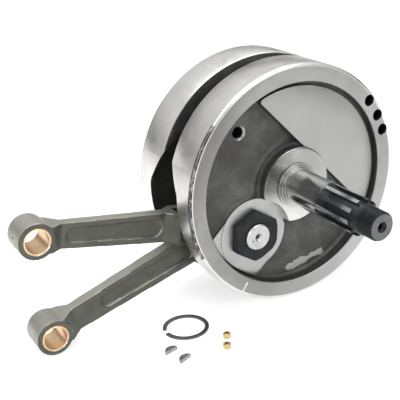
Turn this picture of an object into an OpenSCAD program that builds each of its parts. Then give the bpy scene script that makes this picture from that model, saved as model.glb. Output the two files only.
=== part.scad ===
// Built-up V-twin crankshaft: two flywheels pressed to a crankpin and two tapered shafts,
// with a forked rod and a blade rod side by side on caged rollers.
// The shaft axis lies along Y, the drive shaft points to -Y, the rods lie towards -X and +Z is up.
// The origin is on the shaft axis, at the middle of the drive side's main bearing seat.

/* [Flywheels] */
// Outer diameter of both flywheels
flywheel_d = 215.9; // [200:0.1:220]
// Width of a flywheel at the rim
rim_w = 37.3; // [34:0.1:40]
// Gap between the flywheels at the rim
rim_gap = 17.8; // [17:0.1:20]
// Crank throw, half of the stroke
throw = 57.15; // [56:0.05:58]
// Angle of the crankpin seen from the drive side, from +X towards +Z
pin_angle = 223; // [0:1:360]
// Radius where the rim's flat face ends and the cast pocket begins
pocket_r = 91.9; // [90:0.1:93]
// Radius of the counterweight's machined face
weight_r = 87.9; // [84:0.1:88]
// Distance from the shaft axis to the counterweight's straight edge
weight_chord = 30; // [24:0.5:32]

/* [Shafts] */
// Diameter of both main bearing seats
journal_d = 31.75; // [31:0.05:32.5]
// Diameter over the splines, a little less so that the bearing slides over them
spline_d = 31.2; // [30.5:0.05:31.3]
// Number of splines on the drive shaft
splines = 10; // [8:1:12]
// Diameter of the drive shaft's threaded end
drive_thread_d = 24.6; // [23:0.1:25]
// Diameter of the pinion gear's seat
gear_seat_d = 25.4; // [24:0.1:27]

/* [Crankpin and bearing] */
// Diameter of the crankpin between the flywheels
pin_d = 31.75; // [31:0.05:32]
// Diameter of a roller
roller_d = 4.76; // [4.7:0.01:4.8]
// Number of rollers in each of the three rows
rollers = 18; // [14:1:18]
// Diameter of the threaded ends of the crankpin
pin_thread_d = 23.9; // [22:0.1:24]

/* [Rods] */
// Length of both rods from the crankpin to the wrist pin
rod_l = 188.9; // [180:0.1:200]
// Angle of the forked rod seen from the drive side
forked_angle = 169; // [160:0.5:172]
// Angle of the blade rod seen from the drive side
blade_angle = 196.3; // [196:0.1:200]
// Diameter of the wrist pin bore
wrist_d = 20.14; // [19.5:0.01:21]
// Width of the rods' small ends
small_end_w = 27.8; // [26:0.1:29]

/* [Loose pieces] */
// Outer diameter of the retaining ring
ring_d = 40.2; // [38:0.1:42]
// Diameter of the round blank that a half-moon key is cut from
key_d = 13; // [12:0.5:15]

/* [Hidden] */
$fn = 96;

// Distances across the crank, measured outwards from the middle plane between the flywheels
rim_in = rim_gap / 2;
rim_out = rim_in + rim_w;
hub_face = rim_out - 0.9;
weight_face = rim_out - 4.2;
groove_floor = rim_out - 8.5;
pad_face = rim_out - 8.7;
web_out = rim_out - 12.2;
web_in = 24.4;
pin_boss_face = 20;
shaft_nut_face = 14.6;

// Flywheel outline
fly_r = flywheel_d / 2;
rim_edge = 3;
inner_edge = 1.2;
pin_x = throw * cos(pin_angle);
pin_z = throw * sin(pin_angle);
weight_angle = pin_angle - 180;
hub_r = 34;
spot_r = 33.5;
pad_r = spot_r - 0.6;
pin_boss_r = 27;
relief_floor_r = 81;
relief_mouth_r = 96;
weight_corner = 2.5;
lock_hole_at = [75, 132.5];
balance_r = 101.4;
balance_hole_r = 5.2;
balance_depth = 14;

// Tapers, as radii at the outer and inner ends of each seat
shaft_taper_out = 17.4;
shaft_taper_in = 15.2;
shaft_taper_end = 26.2;
pin_taper_in = 14.8;
pin_taper_out = 13.1;
pin_taper_end = pad_face - 1.6;
key_w = 4.76;

// Shafts, outwards
journal_r = journal_d / 2;
collar = [[20.2, 1.9], [18.5, 2.2], [17.1, 2]];
collar_end = hub_face + collar[0][1] + collar[1][1] + collar[2][1];
spline_start = 92;
mid_y = (collar_end + spline_start) / 2;
spline_full = 105;
spline_end = 136;
spline_r = spline_d / 2;
spline_root_r = journal_r - 3;
drive_thread_start = 140;
drive_end = 158;
shaft_thread_in_r = 11;
pinion_journal_end = 76;
pinion_seat_end = 104;
pinion_end = 122;
pinion_thread_r = 9.5;

// Crankpin and its bearing
pin_r = pin_d / 2;
pin_thread_r = pin_thread_d / 2;
pin_end = rim_out + 0.3;
fit = 0.015;
roller_r = roller_d / 2;
roller_pcr = pin_r + roller_r + fit;
race_in_r = roller_pcr + roller_r + fit;
race_out_r = 25;
nut_af = 41.3;
nut_turn = 26;
shaft_nut_af = 36;

// Rods: half widths across the crank and radii seen from the side
eye_r = 31;
blade_half = 8.45;
fork_in = 8.75;
fork_out = 18.25;
leg_in = 6.4;
leg_out = 13.9;
leg_clear_r = 33.5;
crotch_r = 62;
shank_half = 5.9;
web_half = 2.8;
small_r = 15.6;
bush_r = 11.15;
washer_in = fork_out + 0.2;

// Floor that the crankshaft rests on
floor_z = -fly_r;
ring_wire = 3.4;
ring_t = 1.6;
ring_gap = 22;
key_h = 5.2;
half_key_w = 3.2;
plug_r = 3.4;
plug_l = 4.6;

iron = [0.62, 0.63, 0.62];
steel = [0.72, 0.73, 0.73];
black = [0.16, 0.17, 0.17];
forged = [0.36, 0.39, 0.36];
bronze = [0.80, 0.66, 0.42];
brass = [0.78, 0.64, 0.34];

// Puts a shape drawn outwards along +Z on the drive side or on the pinion side
module drive_side() {
    translate([0, mid_y, 0]) rotate([90, 0, 0]) children();
}
module pinion_side() {
    translate([0, mid_y, 0]) mirror([0, 1, 0]) rotate([90, 0, 0]) children();
}

// Moves a shape to the crankpin's axis
module at_pin() {
    translate([pin_x, pin_z, 0]) children();
}

// Puts a rod drawn along +X from the crankpin at its angle
module at_rod(angle) {
    drive_side() at_pin() rotate([0, 0, angle]) children();
}

// Round bar from z0 to z1 with a chamfer at each end
module bar(r, z0, z1, c0 = 0, c1 = 0) {
    rotate_extrude()
        polygon([[0, z0], [r - c0, z0], [r, z0 + c0], [r, z1 - c1], [r - c1, z1], [0, z1]]);
}

// Plain tube from z0 to z1 with broken edges
module tube(r_in, r_out, z0, z1, c = 0.3) {
    rotate_extrude()
        polygon([[r_in, z0], [r_out - c, z0], [r_out, z0 + c], [r_out, z1 - c],
                 [r_out - c, z1], [r_in, z1]]);
}

// Hexagonal nut with chamfered corners on its outer face and a bore
module nut(af, z0, z1, bore_r) {
    corner = af / 2 / cos(30);
    difference() {
        intersection() {
            translate([0, 0, z0]) cylinder(r = corner, h = z1 - z0, $fn = 6);
            bar(corner + 0.1, z0, z1, 0.4, 2.4);
        }
        translate([0, 0, z0 - 1]) cylinder(r = bore_r, h = z1 - z0 + 2);
        translate([0, 0, z1 - 1]) cylinder(r1 = bore_r, r2 = bore_r + 1.2, h = 1.1);
    }
}

// Lathe centre: a small hole with a countersunk mouth, drilled down from z
module lathe_centre(z, r, depth) {
    translate([0, 0, z - depth]) cylinder(r = r, h = depth + 1);
    translate([0, 0, z - r]) cylinder(r1 = r, r2 = 2 * r + 0.2, h = r + 0.2);
}

// Flywheel as turned: a disc with a rounded outer edge
module flywheel_disc() {
    arc = [for (a = [0 : 22.5 : 90])
        [fly_r - rim_edge + rim_edge * cos(a), rim_out - rim_edge + rim_edge * sin(a)]];
    rotate_extrude($fn = 180)
        polygon(concat([[0, rim_in], [fly_r - inner_edge, rim_in], [fly_r, rim_in + inner_edge]],
                       arc, [[0, rim_out]]));
}

// Cast pocket in the outer face, with a small chamfer at the rim's inner edge
module outer_pocket() {
    rotate_extrude($fn = 180)
        polygon([[0, web_out], [pocket_r, web_out], [pocket_r, rim_out - 0.7],
                 [pocket_r + 1.4, rim_out + 0.7], [0, rim_out + 0.7]]);
}

// Half-moon outline of the counterweight, with rounded corners; its chord faces the crankpin
module half_moon(r, chord, corner) {
    cu = chord + corner;
    cv = sqrt(pow(r - corner, 2) - cu * cu);
    last = atan2(cv, cu) + 14;
    round = [for (i = [0 : 8]) let (a = 180 - (180 - last) * i / 8)
        [cu + corner * cos(a), cv + corner * sin(a)]];
    out = [round[8][0] + 30 * sin(last), round[8][1] - 30 * cos(last)];
    upper = concat(round, [out, [120, out[1]]]);
    lower = [for (i = [len(upper) - 1 : -1 : 0]) [upper[i][0], -upper[i][1]]];
    intersection() {
        circle(r = r, $fn = 180);
        polygon(concat(upper, lower));
    }
}

// Raised shapes inside the outer pocket
module flywheel_bosses() {
    rotate([0, 0, weight_angle]) {
        translate([0, 0, web_out - 3]) linear_extrude(weight_face - web_out + 3)
            half_moon(weight_r, weight_chord, weight_corner);
        translate([0, 0, web_out - 3]) linear_extrude(groove_floor - web_out + 3)
            half_moon(pocket_r + 0.5, weight_chord + 3, weight_corner);
    }
    bar(hub_r, web_out - 3, hub_face, 0, 1.2);
    bar(hub_r + 4, web_out - 3, hub_face - 5.5, 0, 2.5);
    at_pin() bar(pad_r, web_out - 3, pad_face + 1);
    rotate([0, 0, pin_angle]) intersection() {
        translate([throw, 1 - pad_r, web_out - 3])
            cube([pocket_r, 2 * pad_r - 2, pad_face - web_out + 2.6]);
        translate([0, 0, web_out - 4]) cylinder(r = pocket_r + 0.5, h = 20, $fn = 180);
    }
}

// Clearance for the rods' big ends: a wide dished recess around the crankpin
module rod_relief() {
    at_pin() translate([0, 0, rim_in - 0.05])
        cylinder(r1 = relief_mouth_r, r2 = relief_floor_r, h = web_in - rim_in + 0.05, $fn = 180);
}

// Drilled hole from z0 to z1 with a cone at its bottom
module drilled(r, z0, z1, tip) {
    rotate_extrude() polygon([[0, z0 - tip], [r, z0], [r, z1], [0, z1]]);
}

// Bore that tapers from r0 at z0 to r1 at z1, with straight ends beyond
module tapered_bore(r0, z0, r1, z1, ends) {
    rotate_extrude()
        polygon([[0, z0 - ends], [r0, z0 - ends], [r0, z0], [r1, z1], [r1, z1 + ends], [0, z1 + ends]]);
}

// One flywheel with its bosses, tapered bores, keyways and drilled holes
module flywheel(balance_angles) {
    difference() {
        union() {
            difference() {
                union() {
                    difference() {
                        flywheel_disc();
                        outer_pocket();
                    }
                    flywheel_bosses();
                }
                rod_relief();
                at_pin() translate([0, 0, pad_face]) cylinder(r = spot_r, h = 20);
            }
            at_pin() bar(pin_boss_r, pin_boss_face, web_in + 1, 1);
        }
        tapered_bore(shaft_taper_in, shaft_taper_end, shaft_taper_out, hub_face, 3);
        at_pin() tapered_bore(pin_taper_in, pin_boss_face, pin_taper_out, pin_taper_end, 3);
        shaft_key(0);
        for (a = balance_angles) rotate([0, 0, a]) translate([balance_r, 0, 0])
            drilled(balance_hole_r, rim_out - balance_depth, rim_out + 6, 2.5);
        rotate([0, 0, lock_hole_at[1]]) translate([lock_hole_at[0], 0, 0]) rotate_extrude()
            polygon([[0, 0], [5, 0], [5, web_out - 1.6], [7.6, web_out + 1], [0, web_out + 1]]);
    }
}

module drive_flywheel() {
    color(iron) drive_side() difference() {
        flywheel([37.4, 27.1, 18]);
        crankpin_key_shape();
    }
}

module pinion_flywheel() {
    color(iron) pinion_side() flywheel([60, 49.7]);
}

// Square key between a shaft's taper and its flywheel
module shaft_key(ease) {
    rotate([0, 0, weight_angle])
        translate([13.2, -key_w / 2, 30]) cube([5.6 - ease, key_w, 11]);
}

module drive_shaft_key() {
    color(steel) drive_side() shaft_key(0);
}

module pinion_shaft_key() {
    color(steel) pinion_side() shaft_key(0);
}

// Square key between the crankpin's drive-side taper and the flywheel
module crankpin_key_shape() {
    at_pin() rotate([0, 0, pin_angle]) translate([11.4, -2.4, 24]) cube([5.2, 4.8, 9]);
}

module crankpin_key() {
    color(steel) drive_side() crankpin_key_shape();
}

// Shaft stub shared by both sides: inner thread, taper, stepped collar and bearing seat
module shaft_stub(journal_end, chamfer) {
    bar(shaft_thread_in_r, shaft_nut_face + 0.4, web_in + 1, 1.2);
    translate([0, 0, web_in]) cylinder(r = shaft_taper_in - 1, h = shaft_taper_end - web_in);
    translate([0, 0, shaft_taper_end])
        cylinder(r1 = shaft_taper_in, r2 = shaft_taper_out, h = hub_face - shaft_taper_end);
    bar(collar[0][0], hub_face, hub_face + collar[0][1] + 0.01, 0, 0.5);
    bar(collar[1][0], hub_face + 1, hub_face + collar[0][1] + collar[1][1], 0, 0.5);
    bar(collar[2][0], hub_face + 1, collar_end, 0, 1.2);
    bar(journal_r, hub_face + 1, journal_end, 0, chamfer);
}

// One groove between two splines: full depth from spline_full, then a cutter's round run-out
module spline_groove() {
    w = 2 * PI * journal_r / splines * 0.62;
    cutter_r = 30;
    rotate([90, 0, 0]) linear_extrude(w, center = true) {
        translate([spline_root_r, spline_full]) square([8, spline_end - spline_full + 6]);
        translate([spline_root_r + cutter_r - 0.05, spline_full]) circle(r = cutter_r, $fn = 180);
    }
}

module drive_shaft() {
    color(steel) drive_side() difference() {
        union() {
            shaft_stub(spline_start - 0.1, 0.25);
            bar(spline_r, spline_start - 1, spline_end, 0, 1.2);
            rotate_extrude()
                polygon([[0, spline_end - 1], [spline_root_r + 1.2, spline_end - 1],
                         [drive_thread_d / 2, drive_thread_start], [drive_thread_d / 2, drive_end - 1.7],
                         [drive_thread_d / 2 - 1.7, drive_end], [0, drive_end]]);
        }
        for (i = [0 : splines - 1]) rotate([0, 0, 360 / splines * (i + 0.5)]) spline_groove();
        lathe_centre(drive_end, 2.2, 9);
        shaft_key(0);
    }
}

module pinion_shaft() {
    color(steel) pinion_side() difference() {
        union() {
            shaft_stub(pinion_journal_end, 0.6);
            bar(gear_seat_d / 2, pinion_journal_end - 1, pinion_seat_end, 0, 0.8);
            bar(pinion_thread_r, pinion_seat_end - 1, pinion_end, 0, 1.4);
        }
        lathe_centre(pinion_end, 2.6, 60);
        translate([0, 0, 64]) rotate([0, 90, weight_angle]) cylinder(r = 2, h = 30);
        translate([gear_seat_d / 2 + 1.4, 0, (pinion_journal_end + pinion_seat_end) / 2])
            rotate([90, 0, 0]) cylinder(r = key_d / 2, h = key_w, center = true);
        shaft_key(0);
    }
}

module drive_shaft_nut() {
    color(black) drive_side() nut(shaft_nut_af, shaft_nut_face, web_in, shaft_thread_in_r);
}

module pinion_shaft_nut() {
    color(black) pinion_side() nut(shaft_nut_af, shaft_nut_face, web_in, shaft_thread_in_r);
}

// Half of the crankpin: bearing surface, taper and threaded end
module pin_half() {
    bar(pin_r, -0.01, pin_boss_face, 0, 0.4);
    translate([0, 0, pin_boss_face - 0.01])
        cylinder(r1 = pin_taper_in, r2 = pin_taper_out, h = pin_taper_end - pin_boss_face + 0.01);
    bar(pin_thread_r, pin_taper_end - 1, pin_end, 0, 1);
}

module crankpin() {
    color(steel) difference() {
        union() {
            drive_side() at_pin() pin_half();
            pinion_side() at_pin() pin_half();
        }
        drive_side() at_pin() {
            lathe_centre(pin_end, 1.9, 7);
            rotate([0, 0, 199]) translate([6.6, 0, pin_end - 1]) cylinder(r = 0.9, h = 2);
            rotate([90, 0, weight_angle]) cylinder(r = 1.6, h = 30);
            rotate([-90, 0, weight_angle]) cylinder(r = 1.6, h = 30);
        }
        drive_side() crankpin_key_shape();
        pinion_side() at_pin() translate([0, 0, -12]) cylinder(r = 3.2, h = pin_end + 20);
        pinion_side() at_pin() translate([0, 0, pin_end - 8]) cylinder(r = 4.5, h = 10);
    }
}

module crankpin_oil_plug() {
    color(brass) pinion_side() at_pin() difference() {
        bar(4.5, pin_end - 8, pin_end - 1.5, 0.3, 0.6);
        translate([0, 0, pin_end - 3.5]) cylinder(r = 2.3, h = 4, $fn = 6);
    }
}

module crankpin_nut_drive() {
    color(black) drive_side() at_pin() rotate([0, 0, nut_turn]) {
        nut(nut_af, pad_face + 0.9, pin_end - 1.9, pin_thread_r);
        tube(pin_thread_r, nut_af / 2 - 0.4, pad_face, pad_face + 1);
    }
}

module crankpin_nut_pinion() {
    color(black) pinion_side() at_pin() rotate([0, 0, nut_turn]) {
        nut(nut_af, pad_face + 0.9, pin_end - 1.9, pin_thread_r);
        tube(pin_thread_r, nut_af / 2 - 0.4, pad_face, pad_face + 1);
    }
}

module thrust_washer() {
    at_pin() tube(pin_r + 0.2, 24.5, washer_in, pin_boss_face, 0.2);
}

module thrust_washer_drive() {
    color(steel) drive_side() thrust_washer();
}

module thrust_washer_pinion() {
    color(steel) pinion_side() thrust_washer();
}

// Rod outline seen from the side: tapered shank with a flare at the big end
module shank_outline(flare) {
    polygon([[flare, -19], [44, -14.2], [rod_l - 10, -10.6], [rod_l - 10, 10.6], [44, 14.2], [flare, 19]]);
}

// Rounded pocket outline of the I-section, from x0 to x1
module pocket_outline(x0, x1) {
    r0 = 8.6;
    r1 = 6.4;
    polygon([[x0 + r0, -r0], [x1 - r1, -r1], [x1 - r1, r1], [x0 + r0, r0]]);
    translate([x0 + r0, 0]) circle(r = r0, $fn = 48);
    translate([x1 - r1, 0]) circle(r = r1, $fn = 48);
}

// Both I-section pockets, cut from each side down to the web
module rod_pockets(x0, x1) {
    for (s = [0, 1]) mirror([0, 0, s]) translate([0, 0, web_half])
        linear_extrude(20) pocket_outline(x0, x1);
}

// Small end: a wide barrel with the shoulders that blend it into the shank
module small_end() {
    translate([rod_l, 0, 0]) bar(small_r, -small_end_w / 2, small_end_w / 2, 1, 1);
    translate([0, 11.2, 0]) rotate([90, 0, 0]) linear_extrude(22.4)
        polygon([[rod_l - 4, -small_end_w / 2 + 1], [rod_l - 14, -small_end_w / 2 + 1],
                 [rod_l - 23, -shank_half], [rod_l - 23, shank_half],
                 [rod_l - 14, small_end_w / 2 - 1], [rod_l - 4, small_end_w / 2 - 1]]);
}

module small_end_bore() {
    translate([rod_l, 0, -20]) cylinder(r = bush_r, h = 40);
}

module forked_rod() {
    color(forged) at_rod(forked_angle) difference() {
        union() {
            for (s = [0, 1]) mirror([0, 0, s]) bar(eye_r, fork_in, fork_out, 0.5, 1);
            intersection() {
                translate([0, 40, 0]) rotate([90, 0, 0]) linear_extrude(80)
                    polygon([[12, -fork_out + 1], [27, -fork_out + 1], [34, -leg_out], [60, -leg_out],
                             [72, -shank_half], [rod_l, -shank_half], [rod_l, shank_half],
                             [72, shank_half], [60, leg_out], [34, leg_out],
                             [27, fork_out - 1], [12, fork_out - 1]]);
                translate([0, 0, -30]) linear_extrude(60) shank_outline(12);
            }
            small_end();
        }
        translate([0, 0, -fork_in]) cylinder(r = leg_clear_r, h = 2 * fork_in);
        translate([0, 0, -leg_in]) cylinder(r = crotch_r, h = 2 * leg_in);
        translate([0, 0, -30]) cylinder(r = race_out_r, h = 60);
        rod_pockets(73, rod_l - 27);
        small_end_bore();
        translate([rod_l, 0, 0]) rotate([0, 90, 0]) cylinder(r = 1.2, h = 30);
    }
}

module blade_rod() {
    color(forged) at_rod(blade_angle) difference() {
        union() {
            bar(eye_r, -blade_half, blade_half, 0.5, 0.5);
            translate([0, 0, -shank_half]) linear_extrude(2 * shank_half) shank_outline(12);
            small_end();
        }
        translate([0, 0, -30]) cylinder(r = race_out_r, h = 60);
        rod_pockets(44, rod_l - 48);
        small_end_bore();
    }
}

// Bronze bush in a small end
module rod_bush() {
    translate([rod_l, 0, 0]) difference() {
        bar(bush_r, -small_end_w / 2, small_end_w / 2, 0.3, 0.3);
        translate([0, 0, -20]) cylinder(d = wrist_d, h = 40);
    }
}

module forked_rod_bush() {
    color(bronze) at_rod(forked_angle) difference() {
        rod_bush();
        translate([rod_l, 0, 0]) rotate([0, 90, 0]) cylinder(r = 1.2, h = 30);
    }
}

module blade_rod_bush() {
    color(bronze) at_rod(blade_angle) rod_bush();
}

module forked_race_drive() {
    color(steel) drive_side() at_pin() tube(race_in_r, race_out_r, fork_in, fork_out);
}

module forked_race_pinion() {
    color(steel) pinion_side() at_pin() tube(race_in_r, race_out_r, fork_in, fork_out);
}

module blade_race() {
    color(steel) drive_side() at_pin() tube(race_in_r, race_out_r, -blade_half, blade_half);
}

// Rollers of one row between z0 and z1
module roller_row(z0, z1) {
    at_pin() for (i = [0 : rollers - 1])
        rotate([0, 0, 360 / rollers * i]) translate([roller_pcr, 0, 0])
            bar(roller_r, z0, z1, 0.3, 0.3, $fn = 24);
}

// Cage of one row: a sleeve with a window for each roller
module roller_cage(z0, z1) {
    at_pin() difference() {
        tube(roller_pcr - 1.6, roller_pcr + 1.5, z0, z1, 0.2);
        for (i = [0 : rollers - 1])
            rotate([0, 0, 360 / rollers * i]) translate([roller_pcr, 0, z0 + 0.9])
                cylinder(r = roller_r + 0.08, h = z1 - z0 - 1.8, $fn = 24);
    }
}

module roller_cage_drive() {
    color(steel) drive_side() roller_cage(fork_in + 0.2, fork_out - 0.1);
}

module roller_cage_middle() {
    color(steel) drive_side() roller_cage(-blade_half + 0.2, blade_half - 0.2);
}

module roller_cage_pinion() {
    color(steel) pinion_side() roller_cage(fork_in + 0.2, fork_out - 0.1);
}

module rollers_drive() {
    color(steel) drive_side() roller_row(fork_in + 1.2, fork_out - 1.1);
}

module rollers_middle() {
    color(steel) drive_side() roller_row(-blade_half + 1.2, blade_half - 1.2);
}

module rollers_pinion() {
    color(steel) pinion_side() roller_row(fork_in + 1.2, fork_out - 1.1);
}

// Split ring lying on the floor, its gap towards the rods
module retaining_ring() {
    color(black) translate([-114.8, mid_y - 38, floor_z]) difference() {
        tube(ring_d / 2 - ring_wire, ring_d / 2, 0, ring_t, 0.2);
        rotate([0, 0, 171 - ring_gap / 2]) rotate_extrude(angle = ring_gap)
            translate([10, -1]) square([20, ring_t + 2]);
    }
}

// Half-moon key lying on its side, its flat edge at y = 0
module half_moon_key() {
    intersection() {
        translate([0, key_h - key_d / 2, 0]) bar(key_d / 2, 0, half_key_w, 0.3, 0.3);
        translate([-key_d, 0, -1]) cube([2 * key_d, key_d, half_key_w + 2]);
    }
}

module half_moon_key_front() {
    color(steel) translate([-143.2, mid_y - 65.3, floor_z]) rotate([0, 0, 15]) half_moon_key();
}

module half_moon_key_rear() {
    color(steel) translate([-139.4, mid_y - 82.6, floor_z]) rotate([0, 0, 21]) half_moon_key();
}

// Brass plug standing on the floor, with a hexagon socket in its top
module brass_plug() {
    difference() {
        bar(plug_r, 0, plug_l, 0.6, 0.6);
        translate([0, 0, plug_l - 2.2]) cylinder(r = 1.7, h = 3, $fn = 6);
    }
}

module brass_plug_front() {
    color(brass) translate([-102.2, mid_y - 86.2, floor_z]) brass_plug();
}

module brass_plug_rear() {
    color(brass) translate([-93.8, mid_y - 72.3, floor_z]) rotate([0, 0, 20]) brass_plug();
}

drive_flywheel();
pinion_flywheel();
drive_shaft();
drive_shaft_nut();
drive_shaft_key();
pinion_shaft();
pinion_shaft_nut();
pinion_shaft_key();
crankpin();
crankpin_nut_drive();
crankpin_nut_pinion();
crankpin_key();
crankpin_oil_plug();
thrust_washer_drive();
thrust_washer_pinion();
forked_rod();
forked_rod_bush();
forked_race_drive();
forked_race_pinion();
blade_rod();
blade_rod_bush();
blade_race();
roller_cage_drive();
roller_cage_middle();
roller_cage_pinion();
rollers_drive();
rollers_middle();
rollers_pinion();
retaining_ring();
half_moon_key_front();
half_moon_key_rear();
brass_plug_front();
brass_plug_rear();
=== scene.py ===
"""Visible model of a built-up V-twin crankshaft, laid out as an add-on and run as a script."""

import math

import bpy
from mathutils import Matrix, Vector


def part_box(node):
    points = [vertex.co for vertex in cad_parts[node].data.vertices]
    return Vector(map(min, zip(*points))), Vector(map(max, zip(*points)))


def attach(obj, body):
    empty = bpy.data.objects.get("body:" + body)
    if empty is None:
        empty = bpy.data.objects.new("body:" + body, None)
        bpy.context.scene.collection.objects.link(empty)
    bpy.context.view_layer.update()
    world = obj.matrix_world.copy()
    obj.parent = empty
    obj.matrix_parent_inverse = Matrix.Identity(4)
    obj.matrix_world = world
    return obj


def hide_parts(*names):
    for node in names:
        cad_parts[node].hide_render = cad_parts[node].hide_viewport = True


bl_info = {
    "name": "Crankshaft Looks",
    "version": (1, 0, 0),
    "blender": (4, 5, 0),
    "location": "View3D > Sidebar > Crankshaft",
    "description": "Builds the visible crankshaft around its packed CAD frame",
    "category": "Object",
}

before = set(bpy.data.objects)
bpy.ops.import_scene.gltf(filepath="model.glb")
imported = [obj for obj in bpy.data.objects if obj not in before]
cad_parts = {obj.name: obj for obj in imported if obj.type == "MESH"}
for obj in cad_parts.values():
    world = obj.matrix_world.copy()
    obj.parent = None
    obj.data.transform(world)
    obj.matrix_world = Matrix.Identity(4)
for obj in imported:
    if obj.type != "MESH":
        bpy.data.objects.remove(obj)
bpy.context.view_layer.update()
MM = 0.001

# Places taken from the frame: the middle plane, the flywheels' size and the crankpin's axis
DRIVE_LO, DRIVE_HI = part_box("drive_flywheel")
PINION_LO, PINION_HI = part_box("pinion_flywheel")
MID = (DRIVE_HI.y + PINION_LO.y) / 2
FLY_R = (DRIVE_HI.x - DRIVE_LO.x) / 2 / MM
RIM_OUT = (MID - DRIVE_LO.y) / MM
RIM_IN = (MID - DRIVE_HI.y) / MM
PIN_LO, PIN_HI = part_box("crankpin")
PIN_X = (PIN_LO.x + PIN_HI.x) / 2
PIN_Z = (PIN_LO.z + PIN_HI.z) / 2
PIN_ANGLE = math.atan2(PIN_Z, PIN_X)
FLOOR_Z = DRIVE_LO.z

# Distances in metres below which corners are welded and slivers dissolved
WELD = 2e-6
SLIVER = 1e-6


# ---------------------------------------------------------------- modelling by operators


def clear():
    """Leaves edit mode and selects nothing."""
    if bpy.context.mode != "OBJECT":
        bpy.ops.object.mode_set(mode="OBJECT")
    bpy.ops.object.select_all(action="DESELECT")


def pick(piece):
    """Makes one piece the only selected and active object."""
    clear()
    piece.select_set(True)
    bpy.context.view_layer.objects.active = piece


def settle(piece):
    """Puts the piece's place into its mesh, with faces outwards and its origin at the frame's."""
    pick(piece)
    bpy.ops.object.transform_apply(location=True, rotation=True, scale=True)
    bpy.ops.object.mode_set(mode="EDIT")
    bpy.ops.mesh.select_all(action="SELECT")
    bpy.ops.mesh.remove_doubles(threshold=WELD)
    bpy.ops.mesh.dissolve_degenerate(threshold=SLIVER)
    bpy.ops.mesh.select_all(action="SELECT")
    bpy.ops.mesh.normals_make_consistent(inside=False)
    bpy.ops.object.mode_set(mode="OBJECT")
    return piece


def chain(name, points):
    """Draws a line through points, selects it and stays in edit mode."""
    clear()
    bpy.ops.mesh.primitive_plane_add(size=1e-4, location=points[0])
    piece = bpy.context.active_object
    piece.name = name
    bpy.ops.object.mode_set(mode="EDIT")
    bpy.ops.mesh.select_mode(type="VERT")
    bpy.ops.mesh.merge(type="CENTER")
    for a, b in zip(points, points[1:]):
        bpy.ops.mesh.extrude_region_move(TRANSFORM_OT_translate={"value": Vector(b) - Vector(a)})
    bpy.ops.mesh.select_all(action="SELECT")
    return piece


def turned(name, section, steps=128, axis=(0.0, 0.0), side=1, middle=MID):
    """Spins a section of (radius, distance outwards) in mm round an axis along Y."""
    x, z = axis
    points = [Vector((x + r * MM, middle - side * h * MM, z)) for r, h in section]
    piece = chain(name, points)
    bpy.ops.mesh.spin(steps=steps, angle=2 * math.pi, center=(x, 0, z), axis=(0, 1, 0))
    return settle(piece)


def raised(name, outline, start, steps, side=1, middle=MID):
    """Raises an outline of (x, z) in mm from a distance outwards in (inwards, upwards) steps."""
    points = [Vector((x * MM, middle - side * start * MM, z * MM)) for x, z in outline]
    piece = chain(name, points)
    bpy.ops.mesh.edge_face_add()
    for inwards, upwards in steps:
        up = (0, -side * upwards * MM, 0)
        if inwards:
            bpy.ops.mesh.inset(thickness=inwards * MM, depth=0)
            bpy.ops.transform.translate(value=up)
        else:
            bpy.ops.mesh.extrude_region_move(TRANSFORM_OT_translate={"value": up})
    return settle(piece)


def prism(name, points, push):
    """A closed outline of points in mm, filled and pushed along a vector in mm."""
    piece = chain(name, [Vector(p) * MM for p in points])
    bpy.ops.mesh.edge_face_add()
    bpy.ops.mesh.extrude_region_move(TRANSFORM_OT_translate={"value": Vector(push) * MM})
    return settle(piece)


def combine(piece, tool, operation):
    """Unites, cuts or intersects a piece with a tool, which is then used up."""
    pick(piece)
    modifier = piece.modifiers.new("combine", "BOOLEAN")
    modifier.object = tool
    modifier.operation = operation
    modifier.solver = "MANIFOLD"
    bpy.ops.object.modifier_apply(modifier=modifier.name)
    if not len(piece.data.polygons):
        raise RuntimeError(f"{piece.name} was lost when {tool.name} was combined with it")
    bpy.data.objects.remove(tool)
    return piece


def copy_of(piece, name):
    """A copy with its own mesh."""
    twin = piece.copy()
    twin.data = piece.data.copy()
    twin.name = name
    bpy.context.scene.collection.objects.link(twin)
    return twin


def turn_to(piece, angle, centre):
    """Turns a piece modelled along +X about the axis through the origin to a rod's place."""
    piece.matrix_world = Matrix.Translation(centre) @ Matrix.Rotation(-angle, 4, "Y")
    return settle(piece)


def smooth(piece, angle):
    """Shades smooth across edges flatter than an angle in degrees."""
    pick(piece)
    bpy.ops.object.shade_smooth_by_angle(angle=math.radians(angle))
    return piece


def apply(piece, kind, **values):
    """Adds a modifier and applies it."""
    pick(piece)
    modifier = piece.modifiers.new(kind.lower(), kind)
    for key, value in values.items():
        setattr(modifier, key, value)
    bpy.ops.object.modifier_apply(modifier=modifier.name)
    return piece


def paint(piece, names, finish_of):
    """Gives each face the finish that finish_of(centre, normal) names."""
    piece.data.materials.clear()
    for name in names:
        piece.data.materials.append(FINISH[name])
    for face in piece.data.polygons:
        face.material_index = names.index(finish_of(face.center, face.normal))
    return piece


def arc(cx, cy, radius, start, end, count):
    """Points of an arc, its angles in degrees."""
    turn = [math.radians(start + (end - start) * i / count) for i in range(count + 1)]
    return [(cx + radius * math.cos(a), cy + radius * math.sin(a)) for a in turn]


def fillet(radius, count=4):
    """Steps that blend a floor into a wall."""
    places = [math.radians(90 * i / count) for i in range(count + 1)]
    return [
        (radius * (math.sin(b) - math.sin(a)), radius * (math.cos(a) - math.cos(b)))
        for a, b in zip(places, places[1:])
    ]


def rounding(radius, count=3):
    """Steps that round a wall over into a top."""
    return [(b, a) for a, b in fillet(radius, count)]


def at_angle(radius, angle):
    """(x, z) at a radius and an angle in degrees about the shaft's axis."""
    a = math.radians(angle)
    return radius * math.cos(a), radius * math.sin(a)


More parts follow.
